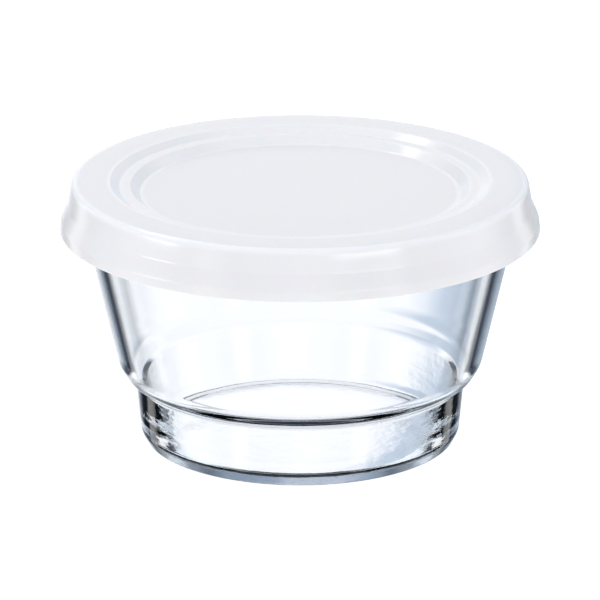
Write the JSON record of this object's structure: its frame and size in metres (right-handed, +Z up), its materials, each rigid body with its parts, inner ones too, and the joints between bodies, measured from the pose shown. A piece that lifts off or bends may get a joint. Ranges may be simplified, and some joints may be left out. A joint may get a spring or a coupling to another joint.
{
  "type": "glass storage bowl with lid",
  "caption": "Small round glass food bowl with a stepped, narrower foot and a soft white snap lid whose stepped top takes the foot of another bowl.",
  "frame": {"origin": "centre of the plane that the foot ring rests on", "axes": "+Z up along the bowl's axis, out through the lid; X and Y are alike, because the object is round"},
  "size_m": [0.1268, 0.1268, 0.0709],
  "materials": {
    "clear_glass": "fire-polished pressed glass with a faint blue-grey tint",
    "milky_plastic": "soft satin, milky, slightly translucent"
  },
  "bodies": {
    "bowl": {"glass_bowl": "clear_glass"},
    "lid": {"snap_lid": "milky_plastic"}
  },
  "joints": [
    {"name": "lid_lift", "type": "slide", "parent": "bowl", "child": "lid", "axis": [0, 0, 1], "range_m": [0, 0.06]}
  ]
}
